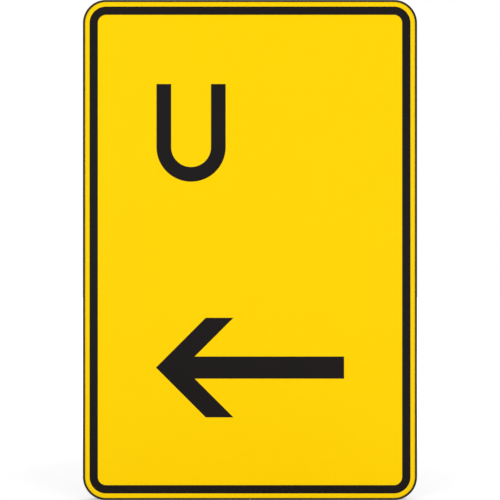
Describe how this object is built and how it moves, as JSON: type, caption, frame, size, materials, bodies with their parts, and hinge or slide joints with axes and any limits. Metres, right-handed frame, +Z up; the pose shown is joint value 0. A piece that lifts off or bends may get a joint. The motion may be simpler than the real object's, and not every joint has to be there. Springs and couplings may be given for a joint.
{
  "type": "detour sign",
  "caption": "Rectangular yellow detour sign with a black border, letter and left arrow, in an edge profile, with back rails and sliding clamps for a round post.",
  "frame": {"origin": "on the post's axis, midway between the two clamps, at the middle of the sign's height", "axes": "+X to the reader's right, +Y to the rear, +Z up along the post"},
  "size_m": [0.6036, 0.0948, 0.9036],
  "materials": {
    "sheet_coat": "matt grey powder coat on aluminium sheet",
    "yellow_film": "satin reflective film",
    "black_film": "satin black film",
    "profile_coat": "black powder coat on extruded aluminium",
    "mill_aluminium": "mill finish, extruded",
    "foam_tape": "matt foam",
    "galvanised_steel": "hot-dip galvanised",
    "zinc_steel": "bright zinc plate"
  },
  "bodies": {
    "panel": {"panel_sheet": "sheet_coat", "face_film": "yellow_film", "border_film": "black_film", "letter_film": "black_film", "arrow_film": "black_film", "edge_profile": "profile_coat", "splice_plate": "mill_aluminium", "upper_rail": "mill_aluminium", "lower_rail": "mill_aluminium", "upper_rail_tape": "foam_tape", "lower_rail_tape": "foam_tape"},
    "upper_clamp": {"upper_saddle": "mill_aluminium", "upper_t_bolts": "zinc_steel"},
    "lower_clamp": {"lower_saddle": "mill_aluminium", "lower_t_bolts": "zinc_steel"},
    "upper_strap_set": {"upper_strap": "galvanised_steel", "upper_washers": "zinc_steel", "upper_spring_washers": "zinc_steel", "upper_nuts": "zinc_steel"},
    "lower_strap_set": {"lower_strap": "galvanised_steel", "lower_washers": "zinc_steel", "lower_spring_washers": "zinc_steel", "lower_nuts": "zinc_steel"}
  },
  "joints": [
    {"name": "lower_clamp_slide", "type": "slide", "parent": "panel", "child": "lower_clamp", "axis": [1, 0, 0], "range_m": [-0.22, 0.22]},
    {"name": "upper_clamp_slide", "type": "slide", "parent": "panel", "child": "upper_clamp", "axis": [1, 0, 0], "range_m": [-0.22, 0.22]},
    {"name": "lower_strap_release", "type": "slide", "parent": "lower_clamp", "child": "lower_strap_set", "axis": [0, 1, 0], "range_m": [0, 0.01]},
    {"name": "upper_strap_release", "type": "slide", "parent": "upper_clamp", "child": "upper_strap_set", "axis": [0, 1, 0], "range_m": [0, 0.01]}
  ],
  "couplings": [
    {"joint": "upper_clamp_slide", "follows": "lower_clamp_slide", "ratio": 1}
  ]
}
